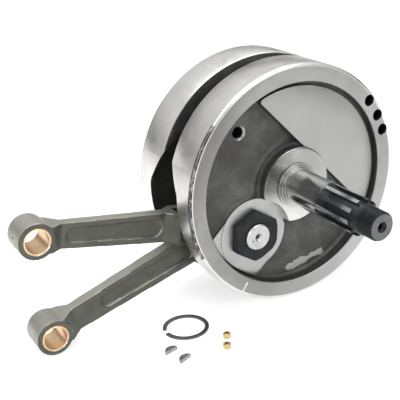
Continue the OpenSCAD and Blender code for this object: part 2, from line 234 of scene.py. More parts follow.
def around(points, angle):
    """Turns (x, z) points about the shaft's axis, by an angle in radians."""
    c, s = math.cos(angle), math.sin(angle)
    return [(u * c - v * s, u * s + v * c) for u, v in points]


# ---------------------------------------------------------------- materials


def set_ramp(ramp, stops):
    """Gives a colour ramp its stops of (position, brightness or colour)."""
    while len(ramp.elements) < len(stops):
        ramp.elements.new(0.5)
    for element, (position, colour) in zip(ramp.elements, stops):
        element.position = position
        element.color = (*(colour if isinstance(colour, tuple) else (colour,) * 3), 1)


class Finish:
    """Builds one procedural material around a Principled shader, each step returning itself."""

    def __init__(self, name, colour, rough, metallic=1.0, **sockets):
        self.name = name
        self.material = bpy.data.materials.new(name)
        self.material.use_nodes = True
        self.nodes = self.material.node_tree.nodes
        self.links = self.material.node_tree.links
        self.shader = self.nodes["Principled BSDF"]
        self.colour = colour
        self.shader.inputs["Base Color"].default_value = (*colour, 1)
        self.shader.inputs["Roughness"].default_value = rough
        self.shader.inputs["Metallic"].default_value = metallic
        for key, value in sockets.items():
            self.shader.inputs[key.replace("_", " ")].default_value = value
        self.place = self.add("ShaderNodeTexCoord").outputs["Object"]
        self.normal = None
        self.tint = None
        self.gloss = None

    def add(self, kind, **values):
        node = self.nodes.new(kind)
        for key, value in values.items():
            setattr(node, key, value)
        return node

    def plug(self, node, **inputs):
        """Links sockets or sets values on a node's inputs by name or number."""
        for key, value in inputs.items():
            number = key[1:]
            socket = node.inputs[int(number) if number.isdigit() else key.replace("_", " ")]
            if isinstance(value, bpy.types.NodeSocket):
                self.links.new(value, socket)
            else:
                socket.default_value = value
        return node

    def maths(self, operation, a, b=0.0):
        return self.plug(self.add("ShaderNodeMath", operation=operation), i0=a, i1=b).outputs[0]

    def scaled(self, vector, scale):
        node = self.add("ShaderNodeMapping")
        self.plug(node, Vector=vector, Scale=(scale, scale, scale))
        return node.outputs[0]

    def noise(self, scale, detail=4.0, rough=0.6, vector=None):
        node = self.add("ShaderNodeTexNoise")
        place = vector or self.place
        self.plug(node, Vector=place, Scale=scale, Detail=detail, Roughness=rough)
        return node.outputs["Fac"]

    def ramp(self, value, *stops):
        """A ramp of (position, brightness or colour) stops."""
        node = self.add("ShaderNodeValToRGB")
        set_ramp(node.color_ramp, stops)
        self.links.new(value, node.inputs[0])
        return node.outputs[0]

    def mix(self, share, a, b):
        node = self.add("ShaderNodeMix", data_type="RGBA")
        self.plug(node, i0=share, i6=a if isinstance(a, bpy.types.NodeSocket) else (*a, 1))
        self.plug(node, i7=b if isinstance(b, bpy.types.NodeSocket) else (*b, 1))
        return node.outputs[2]

    def blotches(self, scale, colour, low, high, share, detail=4.0):
        """Mixes patches of another colour over what is there."""
        spots = self.ramp(self.noise(scale, detail), (low, 0.0), (high, share))
        self.tint = self.mix(spots, self.tint or self.colour, colour)
        return self

    def mix_in(self, mask, colour):
        """Mixes a colour in by a mask socket."""
        self.tint = self.mix(mask, self.tint or self.colour, colour)
        return self

    def uneven(self, scale, low, high):
        """Makes roughness vary between two values."""
        self.gloss = self.ramp(self.noise(scale, 3.0), (0.3, low), (0.7, high))
        return self

    def bump(self, height, strength, distance):
        node = self.add("ShaderNodeBump")
        self.plug(node, Height=height, Strength=strength, Distance=distance)
        if self.normal:
            self.links.new(self.normal, node.inputs["Normal"])
        self.normal = node.outputs[0]
        return self

    def grain(self, scale, strength, distance):
        return self.bump(self.noise(scale, 6.0, 0.65), strength, distance)

    def axes(self):
        """Sockets for X, Y and Z of the place on the piece."""
        parts = self.add("ShaderNodeSeparateXYZ")
        self.links.new(self.place, parts.inputs[0])
        return parts.outputs[0], parts.outputs[1], parts.outputs[2]

    def radius(self, centre):
        """Distance from an axis along Y, and the place along it."""
        x, y, z = self.axes()
        dx = self.maths("SUBTRACT", x, centre[0])
        dz = self.maths("SUBTRACT", z, centre[1])
        square = self.maths("ADD", self.maths("MULTIPLY", dx, dx), self.maths("MULTIPLY", dz, dz))
        return self.maths("SQRT", square), y

    def painted_sheen(self, angle, reach, colour, share, start=0.72):
        """Paints a sheen on the part of a face that lies towards an angle about the shaft: painted
        light or painted shade.
        """
        x, _, z = self.axes()
        a = math.radians(angle)
        across = self.maths("MULTIPLY", x, math.cos(a) / reach)
        up = self.maths("MULTIPLY", z, math.sin(a) / reach)
        towards = self.maths("ADD", across, up)
        return self.mix_in(self.ramp(towards, (start, 0.0), (0.97, share)), colour)

    def mark(self, angle, near, far, half, colour, ragged):
        """A ragged patch of a colour across a radius, from near to far, half a width to each side.
        """
        x, _, z = self.axes()
        c, s = math.cos(math.radians(angle)), math.sin(math.radians(angle))
        along = self.maths("ADD", self.maths("MULTIPLY", x, c), self.maths("MULTIPLY", z, s))
        across = self.maths("SUBTRACT", self.maths("MULTIPLY", x, s), self.maths("MULTIPLY", z, c))
        off_middle = self.maths("ABSOLUTE", self.maths("SUBTRACT", along, (near + far) / 2))
        from_ends = self.maths("SUBTRACT", (far - near) / 2, off_middle)
        from_sides = self.maths("SUBTRACT", half, self.maths("ABSOLUTE", across))
        inside = self.maths("MINIMUM", from_ends, from_sides)
        wander = self.maths("MULTIPLY", self.maths("SUBTRACT", self.noise(80, 5.0), 0.5), ragged)
        depth = self.maths("MULTIPLY", self.maths("ADD", inside, wander), 1 / MM)
        return self.mix_in(self.ramp(depth, (0.0, 0.0), (0.6, 1.0)), colour)

    def tool_marks(self, fine, strength, centre=(0.0, 0.0), shade=0.0):
        """Rings left by a lathe tool round an axis along Y, as bump and as faint shading."""
        distance_out, along = self.radius(centre)
        vector = self.add("ShaderNodeCombineXYZ")
        self.plug(vector, i0=distance_out, i1=along)
        rings = self.noise(1.0, 3.0, 0.7, vector=self.scaled(vector.outputs[0], fine))
        self.bump(rings, strength, 0.0002)
        if shade:
            self.mix_in(self.ramp(rings, (0.3, shade), (0.7, 0.0)), (0.05, 0.05, 0.05))
        return self

    def done(self):
        if self.tint:
            self.links.new(self.tint, self.shader.inputs["Base Color"])
        if self.gloss:
            self.links.new(self.gloss, self.shader.inputs["Roughness"])
        if self.normal:
            self.links.new(self.normal, self.shader.inputs["Normal"])
        return self.material


def make_finishes(options):
    """Every finish on the crankshaft, by its plain name."""
    pin = (PIN_X, PIN_Z)
    finishes = (
        Finish("turned_rim", options.rim_colour, 0.3)
        .blotches(28, (0.5, 0.49, 0.46), 0.45, 0.75, 0.5)
        .tool_marks(2600, 0.25, shade=0.05)
        .uneven(60, 0.24, 0.38),
        Finish("rim_face", options.face_colour, 0.36)
        .blotches(14, (0.19, 0.185, 0.18), 0.4, 0.66, 0.6)
        # Painted sheen on the rim face: painted shade towards the upper left, a painted highlight
        # towards the lower right
        .painted_sheen(152, 0.104, (0.13, 0.125, 0.12), 0.65)
        .painted_sheen(-60, 0.104, (0.5, 0.5, 0.5), 0.5, 0.4)
        # Painted highlight: a thin light streak across the rim towards the lower left
        .mark(-125, 0.096, 0.109, 0.0011, (0.72, 0.72, 0.71), 0.0015)
        .tool_marks(1800, 0.35, shade=0.08)
        .uneven(90, 0.3, 0.44),
        Finish("rim_edge", (0.3, 0.3, 0.29), 0.34)
        .blotches(240, (0.05, 0.05, 0.052), 0.42, 0.56, 0.95)
        .blotches(60, (0.07, 0.07, 0.075), 0.45, 0.6, 0.8)
        .uneven(90, 0.3, 0.46),
        Finish("weight_face", (0.355, 0.355, 0.345), 0.36)
        .blotches(22, (0.33, 0.33, 0.32), 0.4, 0.7, 0.5)
        .tool_marks(900, 0.3, shade=0.05)
        .uneven(40, 0.3, 0.42),
        # Near-black painted shade for the narrow groove round the counterweight, the gap between
        # the flywheels and the hub's side wall
        Finish("groove_floor", (0.035, 0.037, 0.036), 0.5, 0.6)
        .blotches(60, (0.075, 0.077, 0.075), 0.45, 0.7, 0.6)
        .tool_marks(1500, 0.3),
        Finish("cast_iron", options.cast_colour, 0.5, 0.55)
        .blotches(45, (0.11, 0.115, 0.11), 0.42, 0.68, 0.8, 6.0)
        .blotches(420, (0.035, 0.037, 0.037), 0.55, 0.72, 0.45)
        .blotches(900, (0.2, 0.2, 0.19), 0.62, 0.75, 0.4)
        .mark(-79, 0.0805, 0.0868, 0.0205, (0.36, 0.36, 0.35), 0.021)
        .grain(900, 0.5, 0.0003)
        .grain(170, 0.35, 0.0008)
        .uneven(200, 0.4, 0.62),
        Finish("spot_face", (0.42, 0.42, 0.41), 0.36)
        .blotches(50, (0.33, 0.33, 0.32), 0.4, 0.7, 0.5)
        .tool_marks(1500, 0.4, centre=pin, shade=0.1)
        .uneven(80, 0.3, 0.42),
        Finish("ground_steel", (0.6, 0.6, 0.59), 0.16)
        .tool_marks(3500, 0.12, shade=0.04)
        .uneven(120, 0.12, 0.24),
        Finish("turned_steel", (0.4, 0.4, 0.385), 0.26)
        .blotches(24, (0.24, 0.24, 0.23), 0.42, 0.64, 0.5)
        # Painted sheen on the hub: painted shade towards the left, a painted highlight towards the
        # bottom
        .painted_sheen(165, 0.03, (0.09, 0.09, 0.085), 0.75, 0.3)
        .painted_sheen(-110, 0.03, (0.72, 0.72, 0.71), 0.8, 0.3)
        .tool_marks(2200, 0.3, shade=0.1)
        .uneven(60, 0.24, 0.32),
        Finish("spline_land", (0.66, 0.68, 0.7), 0.14)
        .blotches(90, (0.5, 0.53, 0.56), 0.4, 0.7, 0.6)
        .uneven(150, 0.1, 0.2),
        # Near-black: the nuts' own black finish, and also painted shade in the flywheels' balance
        # holes and on the drive shaft's spline run-outs and the step before them
        Finish("black_finish_and_shade", (0.012, 0.013, 0.014), 0.3, 0.3, Specular_IOR_Level=0.2)
        .blotches(160, (0.024, 0.025, 0.026), 0.42, 0.7, 0.8)
        .blotches(600, (0.09, 0.09, 0.09), 0.62, 0.75, 0.4)
        .grain(700, 0.2, 0.0002)
        .uneven(180, 0.26, 0.46),
        Finish("dark_end", (0.12, 0.122, 0.125), 0.36, 0.8)
        .blotches(200, (0.2, 0.2, 0.2), 0.42, 0.7, 0.7)
        .tool_marks(1800, 0.3, shade=0.2),
        Finish("pin_end", (0.56, 0.56, 0.54), 0.32)
        .blotches(140, (0.3, 0.3, 0.29), 0.45, 0.7, 0.6)
        .tool_marks(1800, 0.35, centre=pin, shade=0.15),
        Finish("forged_side", options.rod_colour, 0.42, 0.6)
        .blotches(40, (0.05, 0.056, 0.045), 0.4, 0.7, 0.8, 5.0)
        .blotches(240, (0.14, 0.14, 0.12), 0.58, 0.75, 0.5)
        .grain(520, 0.35, 0.0003)
        .grain(90, 0.2, 0.0006)
        .uneven(160, 0.34, 0.52),
        # A lighter copy of the forging for the rods' outline faces: partly their own warmer tone,
        # partly painted light, as if lit from above
        Finish("forged_edge_and_painted_light", (0.34, 0.33, 0.29), 0.42, 0.75)
        .blotches(60, (0.24, 0.24, 0.21), 0.4, 0.7, 0.6)
        .grain(700, 0.3, 0.0003)
        .uneven(120, 0.36, 0.5),
        Finish("bronze", (0.78, 0.56, 0.34), 0.3)
        .blotches(130, (0.66, 0.42, 0.24), 0.4, 0.7, 0.6)
        .grain(1400, 0.12, 0.0002)
        .uneven(150, 0.24, 0.38),
        Finish("brass", (0.6, 0.48, 0.24), 0.3)
        .blotches(260, (0.4, 0.3, 0.13), 0.42, 0.7, 0.6)
        .grain(1600, 0.12, 0.0002)
        .uneven(300, 0.2, 0.36),
        Finish("spring_steel", (0.1, 0.1, 0.098), 0.4, 0.8)
        .blotches(180, (0.17, 0.17, 0.165), 0.42, 0.7, 0.7)
        .grain(900, 0.2, 0.0002)
        .uneven(200, 0.32, 0.5),
        Finish("key_steel", (0.32, 0.32, 0.33), 0.36, 0.9)
        .blotches(220, (0.2, 0.2, 0.2), 0.42, 0.7, 0.7)
        .grain(1200, 0.2, 0.0002)
        .uneven(260, 0.28, 0.46),
        Finish("bearing_steel", (0.6, 0.6, 0.59), 0.18)
        .tool_marks(2600, 0.12, centre=pin, shade=0.05)
        .uneven(200, 0.14, 0.26),
        Finish("cage_steel", (0.4, 0.4, 0.39), 0.34)
        .blotches(160, (0.3, 0.3, 0.29), 0.42, 0.7, 0.5)
        .uneven(200, 0.28, 0.42),
    )
    return {finish.name: finish.done() for finish in finishes}


# The CAD nodes that take each finish
CAD_FINISHES = {
    "black_finish_and_shade": (
        "drive_shaft_nut", "pinion_shaft_nut", "crankpin_nut_drive", "crankpin_nut_pinion",
    ),
    "key_steel": (
        "drive_shaft_key", "pinion_shaft_key", "crankpin_key", "half_moon_key_front",
        "half_moon_key_rear",
    ),
    "pin_end": ("crankpin",),
    "brass": ("crankpin_oil_plug", "brass_plug_front", "brass_plug_rear"),
    "bearing_steel": (
        "thrust_washer_drive", "thrust_washer_pinion", "forked_race_drive", "forked_race_pinion",
        "blade_race", "rollers_drive", "rollers_middle", "rollers_pinion",
    ),
    "bronze": ("forked_rod_bush", "blade_rod_bush"),
    "cage_steel": ("roller_cage_drive", "roller_cage_middle", "roller_cage_pinion"),
    "spring_steel": ("retaining_ring",),
    "rim_face": ("drive_flywheel", "pinion_flywheel"),
    "ground_steel": ("drive_shaft", "pinion_shaft"),
    "forged_side": ("forked_rod", "blade_rod"),
}
FINISH = {}


# ---------------------------------------------------------------- properties


class CrankshaftFinish(bpy.types.PropertyGroup):
    """Colours that a user would change."""

    rim_colour: bpy.props.FloatVectorProperty(
        name="Rim", description="Colour of the flywheels' turned outer surface",
        subtype="COLOR", default=(0.72, 0.71, 0.69), min=0, max=1,
    )
    face_colour: bpy.props.FloatVectorProperty(
        name="Rim face", description="Colour of the flywheels' faced rims",
        subtype="COLOR", default=(0.36, 0.36, 0.355), min=0, max=1,
    )
    cast_colour: bpy.props.FloatVectorProperty(
        name="Casting", description="Colour of the rough cast pockets",
        subtype="COLOR", default=(0.06, 0.059, 0.056), min=0, max=1,
    )
    rod_colour: bpy.props.FloatVectorProperty(
        name="Rods", description="Colour of the forged rods' sides",
        subtype="COLOR", default=(0.088, 0.09, 0.074), min=0, max=1,
    )


class CrankshaftShape(bpy.types.PropertyGroup):
    """Sizes of the details that the visible model adds."""

    casting_fillet: bpy.props.FloatProperty(
        name="Casting fillet", description="Radius where the cast bosses meet the pocket's floor",
        default=0.003, min=0.0005, max=0.004, precision=4, unit="LENGTH",
    )
    thread_pitch: bpy.props.FloatProperty(
        name="Thread pitch", description="Pitch of the threads on both shafts' ends",
        default=0.0016, min=0.0008, max=0.003, precision=4, unit="LENGTH",
    )
    spline_edge: bpy.props.FloatProperty(
        name="Spline edge", description="Width of the broken edges along the spline grooves",
        default=0.00035, min=0.0001, max=0.0006, precision=5, unit="LENGTH",
    )
    forging_skin: bpy.props.FloatProperty(
        name="Forging skin", description="Size of the smallest detail that the rods' forging keeps",
        default=0.0008, min=0.0005, max=0.002, precision=4, unit="LENGTH",
    )


class CrankshaftStage(bpy.types.PropertyGroup):
    """Floor, light and camera."""

    floor_colour: bpy.props.FloatVectorProperty(
        name="Floor", description="Colour of the floor", subtype="COLOR",
        default=(0.5, 0.5, 0.5), min=0, max=1,
    )
    light: bpy.props.FloatProperty(
        name="Light", description="Strength of the studio light", default=1.0, min=0, max=10,
    )
    glow: bpy.props.FloatProperty(
        name="Floor glow", description="Light that the floor gives off, which lifts its shadows",
        default=0.62, min=0, max=2,
    )
    lens: bpy.props.FloatProperty(
        name="Lens", description="Focal length of the camera in millimetres",
        default=77.2, min=20, max=300,
    )
    distance: bpy.props.FloatProperty(
        name="Distance", description="From the middle of the crank to the camera",
        default=0.7902, min=0.1, max=5, unit="LENGTH",
    )


# ---------------------------------------------------------------- operators


# Studio: the floor's size and its gap below the crank in metres, the camera's angles in degrees
FLOOR_SIZE = 24
FLOOR_GAP = 0.0002
CAMERA_FROM = (-33.429, 20.783)
CAMERA_BACK = (-30.305, 22.119)
CAMERA_ROLL = -2.799
CAMERA_SHIFT = (-0.0625, -0.02)
# Brightness of the sky from straight below to straight above, as a glossy surface sees it
SKY = ((0.0, 0.5), (0.5, 0.3), (0.57, 0.12), (0.66, 0.72), (0.85, 0.85), (1.0, 1.0))
SKY_BLUE = 1.01
# Soft boxes: place, size in metres and power in watts
LAMPS = (
    ("overhead_box", (0.0, 0.0, 1.5), 1.6, 26),
    ("left_box", (-1.3, -0.5, 0.7), 0.9, 9),
    ("front_box", (0.6, -1.6, 0.9), 0.9, 9),
)


class CRANKSHAFT_OT_stage(bpy.types.Operator):
    """Make the floor, the studio light and the camera"""

    bl_idname = "crankshaft.stage"
    bl_label = "Stage"

    def execute(self, context):
        stage = context.scene.crankshaft_stage
        clear()
        bpy.ops.mesh.primitive_plane_add(size=FLOOR_SIZE, location=(0, 0, FLOOR_Z - FLOOR_GAP))
        floor = context.active_object
        floor.name = "studio_floor"
        coat = Finish(
            "floor_paint", tuple(stage.floor_colour), 0.85, 0.0,
            Emission_Color=(1, 1, 1, 1), Emission_Strength=stage.glow,
        )
        coat.blotches(0.6, (0.48, 0.48, 0.485), 0.3, 0.7, 0.5)
        floor.data.materials.append(coat.done())
        settle(floor)
        self.sky(context, stage)
        self.lamps(context, stage)
        self.camera(context, stage)
        return {"FINISHED"}

    def sky(self, context, stage):
        """White to the eye; to a glossy surface a soft overhead box above a darker horizon."""
        world = context.scene.world or bpy.data.worlds.new("studio")
        context.scene.world = world
        world.use_nodes = True
        nodes, links = world.node_tree.nodes, world.node_tree.links
        nodes.clear()
        place = nodes.new("ShaderNodeTexCoord")
        parts = nodes.new("ShaderNodeSeparateXYZ")
        links.new(place.outputs["Generated"], parts.inputs[0])
        height = nodes.new("ShaderNodeValToRGB")
        set_ramp(height.color_ramp, [(at, (grey, grey, grey * SKY_BLUE)) for at, grey in SKY])
        half = nodes.new("ShaderNodeMath")
        half.operation = "MULTIPLY_ADD"
        half.inputs[1].default_value = 0.5
        half.inputs[2].default_value = 0.5
        links.new(parts.outputs[2], half.inputs[0])
        links.new(half.outputs[0], height.inputs[0])
        shine = nodes.new("ShaderNodeBackground")
        shine.inputs[1].default_value = stage.light
        links.new(height.outputs[0], shine.inputs[0])
        plain = nodes.new("ShaderNodeBackground")
        plain.inputs[0].default_value = (1, 1, 1, 1)
        plain.inputs[1].default_value = 1.0
        rays = nodes.new("ShaderNodeLightPath")
        mixed = nodes.new("ShaderNodeMixShader")
        links.new(rays.outputs["Is Camera Ray"], mixed.inputs[0])
        links.new(shine.outputs[0], mixed.inputs[1])
        links.new(plain.outputs[0], mixed.inputs[2])
        out = nodes.new("ShaderNodeOutputWorld")
        links.new(mixed.outputs[0], out.inputs[0])

    def lamps(self, context, stage):
        """Soft boxes: a wide one overhead, one at the left and a low fill in front."""
        for name, place, size, power in LAMPS:
            bpy.ops.object.light_add(type="AREA", location=place)
            lamp = context.active_object
            lamp.name = name
            lamp.data.shape = "SQUARE"
            lamp.data.size = size
            lamp.data.energy = power * stage.light
            aim = Vector((0, MID, 0)) - Vector(place)
            lamp.rotation_euler = aim.to_track_quat("-Z", "Y").to_euler()

    def camera(self, context, stage):
        """Looks from the left and above, a little rolled, the shaft towards it."""

        def out(azimuth, elevation):
            a, e = math.radians(azimuth), math.radians(elevation)
            return Vector((math.sin(a) * math.cos(e), -math.cos(a) * math.cos(e), math.sin(e)))

        middle = Vector((0, MID, 0))
        bpy.ops.object.camera_add(location=out(*CAMERA_FROM) * stage.distance + middle)
        camera = context.active_object
        camera.name = "studio_camera"
        back = out(*CAMERA_BACK)
        turn = math.radians(CAMERA_BACK[0])
        level = Vector((math.cos(turn), math.sin(turn), 0))
        up = back.cross(level)
        roll = math.radians(CAMERA_ROLL)
        right = math.cos(roll) * level + math.sin(roll) * up
        up = math.cos(roll) * up - math.sin(roll) * level
        camera.rotation_euler = Matrix((right, up, back)).transposed().to_euler()
        camera.data.lens = stage.lens
        camera.data.sensor_width = 36
        camera.data.shift_x, camera.data.shift_y = CAMERA_SHIFT
        context.scene.camera = camera
        context.scene.view_settings.view_transform = "Standard"


class CRANKSHAFT_OT_finishes(bpy.types.Operator):
    """Make every finish and give each CAD node its own"""

    bl_idname = "crankshaft.finishes"
    bl_label = "Finishes"

    def execute(self, context):
        FINISH.update(make_finishes(context.scene.crankshaft_finish))
        for finish, names in CAD_FINISHES.items():
            for slot in (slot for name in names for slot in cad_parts[name].material_slots):
                slot.material = FINISH[finish]
        return {"FINISHED"}


# Flywheel sizes in mm: radii about the shaft, and distances outwards from the middle plane
RIM_ROUND = 3
RIM_BREAK = 0.7
POCKET_R = 91.9
WEIGHT_R = 87.9
WEIGHT_CHORD = 30
WEIGHT_CORNER = 2.5
WEB = RIM_OUT - 12.2
WEB_IN = 24.4
WEIGHT_FACE = RIM_OUT - 4.2
WEIGHT_ROUND = 0.6
GROOVE_FLOOR = RIM_OUT - 8.5
PAD_FACE = RIM_OUT - 8.7
HUB_FACE = RIM_OUT - 0.9
HUB_R = 34
HUB_STEP = 39.8
HUB_STEP_R = 38
HUB_BLEND = 4
SEAT_R = 17.4
SEAT_FLOOR = 26.2
BORE_R = 15.2
PAD_R = 32.9
SPOT_R = 33.5
YOKE_BLEND = 2
YOKE_ROUND = 0.4
THROW = math.hypot(PIN_X, PIN_Z) / MM
PIN_BOSS_FACE = 20
PIN_BOSS_R = 27
PIN_BOSS_BACK = 25.4
BALANCE_AT = 101.4
BALANCE_R = 5.2
LOCK_AT = 75
LOCK_ANGLE = 132.5
LOCK_R = 5
LOCK_MOUTH_R = 7.6
# How far cutters and bosses run on past a face, so that no two faces lie in one plane
OVERRUN = 2


def half_moon(r, chord, corner):
    """Outline of the counterweight, its chord towards the crankpin, corners rounded."""
    cu = chord + corner
    cv = math.sqrt((r - corner) ** 2 - cu * cu)
    edge = math.degrees(math.atan2(cv, cu))
    points = arc(cu, cv, corner, 180, edge, 10)
    points += arc(0, 0, r, edge, -edge, 72)[1:-1]
    points += arc(cu, -cv, corner, -edge, -180, 10)
    return around(points, PIN_ANGLE + math.pi)


def flywheel_blank(name, side, blend):
    """The turned body: rim, pocket, hub and the tapered bore for the shaft."""
    rim = [(FLY_R - 1.2, RIM_IN), (FLY_R - 0.4, RIM_IN + 0.35), (FLY_R, RIM_IN + 1.2)]
    rim += arc(FLY_R - RIM_ROUND, RIM_OUT - RIM_ROUND, RIM_ROUND, 0, 90, 6)
    rim += [(POCKET_R + RIM_BREAK, RIM_OUT), (POCKET_R, RIM_OUT - RIM_BREAK)]
    rim += [(POCKET_R, WEB + blend), *arc(POCKET_R - blend, WEB + blend, blend, 0, -90, 4)[1:]]
    hub = arc(HUB_STEP_R + HUB_BLEND, WEB + HUB_BLEND, HUB_BLEND, 270, 180, 4)
    hub += [(HUB_STEP_R, 38.8), (37.6, 39.5), (36.8, HUB_STEP), (HUB_R, HUB_STEP)]
    hub += [(HUB_R, HUB_FACE - 1.2), (33.7, HUB_FACE - 0.5)]
    hub += [(33.1, HUB_FACE - 0.1), (32.4, HUB_FACE)]
    bore = [(SEAT_R, HUB_FACE), (BORE_R, SEAT_FLOOR), (BORE_R, RIM_IN)]
    return turned(name, bore[-1:] + rim + hub + bore, 192, side=side)


def add_bosses(body, side, blend):
    """Unites the counterweight, its ledge, the crankpin's pad and the bridge to the rim."""
    pin = (PIN_X, PIN_Z)
    flare = half_moon(WEIGHT_R + blend, WEIGHT_CHORD - blend, WEIGHT_CORNER + blend)
    wall = WEIGHT_FACE - WEB - blend - WEIGHT_ROUND
    steps = [(0, 1), *fillet(blend), (0, wall), *rounding(WEIGHT_ROUND, 2)]
    combine(body, raised("weight", flare, WEB - 1, steps, side), "UNION")
    ledge = half_moon(POCKET_R + 0.5, WEIGHT_CHORD + 3, WEIGHT_CORNER)
    steps = [(0, GROOVE_FLOOR - WEB + OVERRUN)]
    combine(body, raised("ledge", ledge, WEB - OVERRUN, steps, side), "UNION")
    foot = arc(PAD_R + blend, WEB + blend, blend, 270, 180, 4)
    pad = [(0, WEB - OVERRUN), (PAD_R + blend, WEB - OVERRUN), *foot]
    pad += [(PAD_R, PAD_FACE + 1), (0, PAD_FACE + 1)]
    combine(body, turned("pad", pad, 96, pin, side), "UNION")
    half, reach = PAD_R - 1 + YOKE_BLEND, POCKET_R + 0.4
    turn = math.degrees(math.asin(half / reach))
    yoke = [(THROW, half), *arc(0, 0, reach, turn, -turn, 16), (THROW, -half)]
    wall = PAD_FACE - YOKE_ROUND - WEB - YOKE_BLEND - YOKE_ROUND
    steps = [(0, OVERRUN), *fillet(YOKE_BLEND), (0, wall), *rounding(YOKE_ROUND, 2)]
    outline = around(yoke, PIN_ANGLE)
    combine(body, raised("yoke", outline, WEB - OVERRUN, steps, side), "UNION")


def machine_pin_seat(body, side):
    """Dishes the inner face round the crankpin, spot-faces the pad and bores the taper."""
    pin = (PIN_X, PIN_Z)
    dish = [(0, 6.9), (97.94, 6.9), (84, 21.3), (83, 22.6), (81.5, 23.8), (79, WEB_IN), (0, WEB_IN)]
    spot = [(0, PAD_FACE), (SPOT_R, PAD_FACE), (SPOT_R, 60), (0, 60)]
    for section in (dish, spot):
        combine(body, turned("cutter", section, 160, pin, side), "DIFFERENCE")
    boss = [(0, PIN_BOSS_FACE), (PIN_BOSS_R - 1, PIN_BOSS_FACE), (PIN_BOSS_R, PIN_BOSS_FACE + 1)]
    boss += [(PIN_BOSS_R, PIN_BOSS_BACK), (0, PIN_BOSS_BACK)]
    combine(body, turned("boss", boss, 96, pin, side), "UNION")
    taper = [(0, 17), (14.8, 17), (14.8, PIN_BOSS_FACE), (13.1, 35.9), (13.1, 39), (0, 39)]
    combine(body, turned("taper", taper, 96, pin, side), "DIFFERENCE")


def drill(body, section, at, side):
    """Drills a section into the outer side, at (x, z) in mm."""
    place = (at[0] * MM, at[1] * MM)
    combine(body, turned("drill", section, 40, place, side), "DIFFERENCE")


def flywheel(name, side, balance_angles, blend):
    """One flywheel: turned body, cast bosses with blended feet, machined faces and holes."""
    body = flywheel_blank(name, side, blend)
    add_bosses(body, side, blend)
    machine_pin_seat(body, side)
    balance = [(0, RIM_OUT - 16.5), (BALANCE_R, RIM_OUT - 14), (BALANCE_R, RIM_OUT - 0.4)]
    balance += [(5.6, RIM_OUT), (6.6, 47.2), (0, 47.2)]
    holes = [at_angle(BALANCE_AT, angle) for angle in balance_angles]
    for at in holes:
        drill(body, balance, at, side)
    lock = [(0, 0), (LOCK_R, 0), (LOCK_R, WEB - 1.6), (5.4, WEB - 1.1)]
    lock += [(LOCK_MOUTH_R, WEB + 1), (0, WEB + 1)]
    lock_at = at_angle(LOCK_AT, LOCK_ANGLE)
    drill(body, lock, lock_at, side)

    def away(c, at):
        return math.hypot(c.x / MM - at[0], c.z / MM - at[1])

    def finish_of(c, n):
        """Sorts faces by where their middles lie, with a small margin at each edge."""
        r, h = math.hypot(c.x, c.z) / MM, side * (MID - c.y) / MM
        from_pin = math.hypot(c.x - PIN_X, c.z - PIN_Z) / MM
        turn = math.degrees(math.atan2(c.z, c.x)) % 360
        inner_face = h < RIM_IN + 0.1
        # Painted shade: the balance holes' walls and floors are painted near-black
        if h < RIM_OUT - 0.3 and any(away(c, at) < BALANCE_R + 0.05 for at in holes):
            return "black_finish_and_shade"
        in_mouth = LOCK_R + 0.1 < away(c, lock_at) < LOCK_MOUTH_R + 0.1
        if in_mouth and h < WEB + 1 and abs(n.y) < 0.95:
            return "spot_face"
        # Painted shade: the inner faces in the gap between the flywheels take the near-black finish
        if h < WEB_IN + 0.5 and r < FLY_R - 3 and not (inner_face and r > FLY_R - 9):
            return "groove_floor"
        # Painted shade: the hub's side wall and the ring round its foot take the near-black finish
        if HUB_R - 0.1 < r < HUB_STEP_R + 4.5 and WEB + 4.5 < h < min(HUB_FACE - 1.3, 44):
            return "groove_floor"
        if r > FLY_R - 2.6 and h > RIM_OUT - 2.9 and 138 < turn < 204 and abs(n.y) > 0.1:
            return "rim_edge"
        if r > FLY_R - 3.1 and (h > RIM_OUT - 3.1 or abs(n.y) < 0.5 or h < RIM_IN + 1.3):
            return "turned_rim"
        if inner_face or (h > RIM_OUT - 0.75 and r > POCKET_R - 0.1):
            return "rim_face"
        if r < HUB_R + 0.2 and h > HUB_STEP + 0.05:
            return "turned_steel"
        if h > WEIGHT_FACE - 0.65:
            return "weight_face"
        if h > PAD_FACE - 0.05 and from_pin < SPOT_R + 0.05:
            return "spot_face"
        if PAD_FACE - 0.6 < h < PAD_FACE and abs(n.y) > 0.9 and from_pin < THROW and r > 62:
            return "spot_face"
        # Painted shade: the narrow groove between the counterweight and the rim takes the
        # near-black finish
        if r > WEIGHT_R - 0.5 and h > GROOVE_FLOOR - 0.1:
            return "groove_floor"
        return "cast_iron"

    names = ["cast_iron", "turned_rim", "rim_face", "turned_steel", "weight_face", "spot_face"]
    names += ["groove_floor", "black_finish_and_shade", "rim_edge"]
    return smooth(paint(body, names, finish_of), 28)


class CRANKSHAFT_OT_flywheels(bpy.types.Operator):
    """Model both flywheels"""

    bl_idname = "crankshaft.flywheels"
    bl_label = "Flywheels"

    def execute(self, context):
        for name, node, side, angles in (
            ("drive_flywheel_casting", "drive_flywheel", 1, (37.4, 27.1, 18)),
            ("pinion_flywheel_casting", "pinion_flywheel", -1, (60, 49.7)),
        ):
            piece = flywheel(name, side, angles, context.scene.crankshaft_shape.casting_fillet / MM)
            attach(piece, "crank")
            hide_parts(node)
        return {"FINISHED"}


# Shaft sizes in mm: radii, and distances outwards from the middle plane
BEARING_R = 15.875
THREAD_DEPTH = 0.6  # of the pitch
THREAD_HALF = 0.55  # of the pitch
SPLINE_R = 15.6
SPLINE_ROOT = 12.875
SPLINE_START = 91.9
SPLINE_END = 134.8
SPLINES = 10
GROOVE_SHARE = 0.62  # of the spacing
CUTTER_R = 30
DRIVE_THREAD_R = 12.3
DRIVE_END = 158
GEAR_SEAT_R = 12.7
GEAR_SEAT_END = 104
PINION_THREAD_R = 9.5
PINION_END = 122
KEY_WAY_HALF = 2.38


